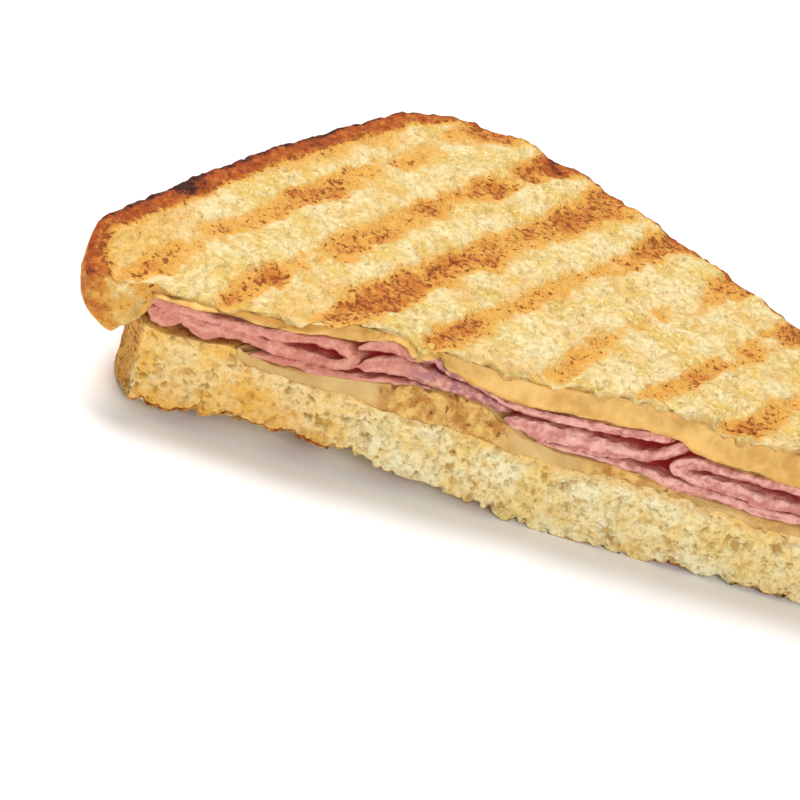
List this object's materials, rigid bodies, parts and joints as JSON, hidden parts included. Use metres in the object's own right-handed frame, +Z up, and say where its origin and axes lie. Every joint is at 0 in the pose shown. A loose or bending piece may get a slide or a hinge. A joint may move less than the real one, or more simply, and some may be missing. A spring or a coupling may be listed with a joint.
{
  "type": "ham and swiss sandwich",
  "caption": "Pressed and grilled ham and swiss sandwich, cut corner to corner: triangular toasted bread slices with bar marks, melted cheese and folded ham at the cut face.",
  "frame": {"origin": "on the surface it rests on, under the middle of the bounding box", "axes": "+X along the cut face from its left end to its right end, +Y from the cut face towards the square crust corner, +Z up"},
  "size_m": [0.157, 0.0794, 0.0275],
  "materials": {
    "bread_bottom": "dry porous crumb with a thin browned crust",
    "cheese_lower": "soft melted cheese, satin",
    "ham_fold_left": "moist sliced ham, semi-gloss",
    "ham_under_left": "moist sliced ham, semi-gloss",
    "ham_inner_left": "moist sliced ham, semi-gloss",
    "ham_wave_top": "moist sliced ham, semi-gloss",
    "ham_curl_middle": "moist sliced ham, semi-gloss",
    "ham_fold_right": "moist sliced ham, semi-gloss",
    "ham_under_right": "moist sliced ham, semi-gloss",
    "cheese_upper": "soft melted cheese, satin",
    "bread_top": "dry toasted face with browned grill bars and a browned crust"
  },
  "bodies": {
    "root": {"bread_bottom": "bread_bottom", "cheese_lower": "cheese_lower", "ham_fold_left": "ham_fold_left", "ham_under_left": "ham_under_left", "ham_inner_left": "ham_inner_left", "ham_wave_top": "ham_wave_top", "ham_curl_middle": "ham_curl_middle", "ham_fold_right": "ham_fold_right", "ham_under_right": "ham_under_right", "cheese_upper": "cheese_upper", "bread_top": "bread_top"}
  },
  "joints": []
}
